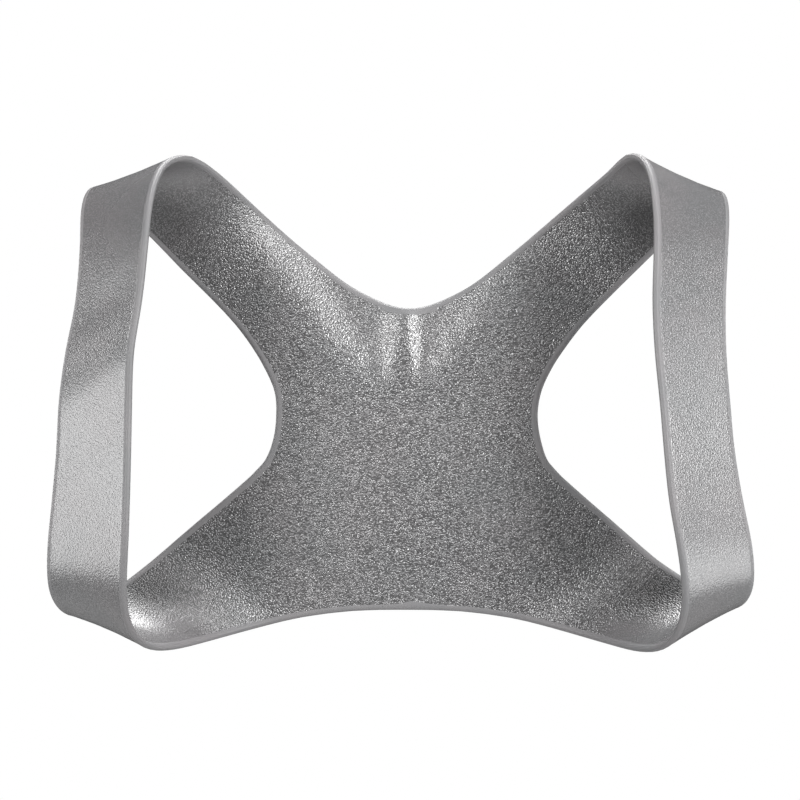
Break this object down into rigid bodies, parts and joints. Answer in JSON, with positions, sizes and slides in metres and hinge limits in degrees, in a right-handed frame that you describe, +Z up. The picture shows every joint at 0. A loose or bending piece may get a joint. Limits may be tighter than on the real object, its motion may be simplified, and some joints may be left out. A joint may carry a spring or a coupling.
{
  "type": "posture corrector",
  "caption": "One-piece moulded posture brace: an X-shaped back panel whose upper and lower arms meet in wide front bands and form an armhole loop at each side.",
  "frame": {"origin": "on the inner face of the back panel, in its middle, where it lies between the shoulder blades", "axes": "+X to the wearer's left, +Y out of the wearer's back, +Z up; the front bands lie on the -Y side"},
  "size_m": [0.315, 0.0988, 0.2251],
  "materials": {
    "soft_rubber": "satin, fine moulded pebble grain with a smooth margin along every edge"
  },
  "bodies": {
    "root": {"moulded_brace": "soft_rubber"}
  },
  "joints": []
}
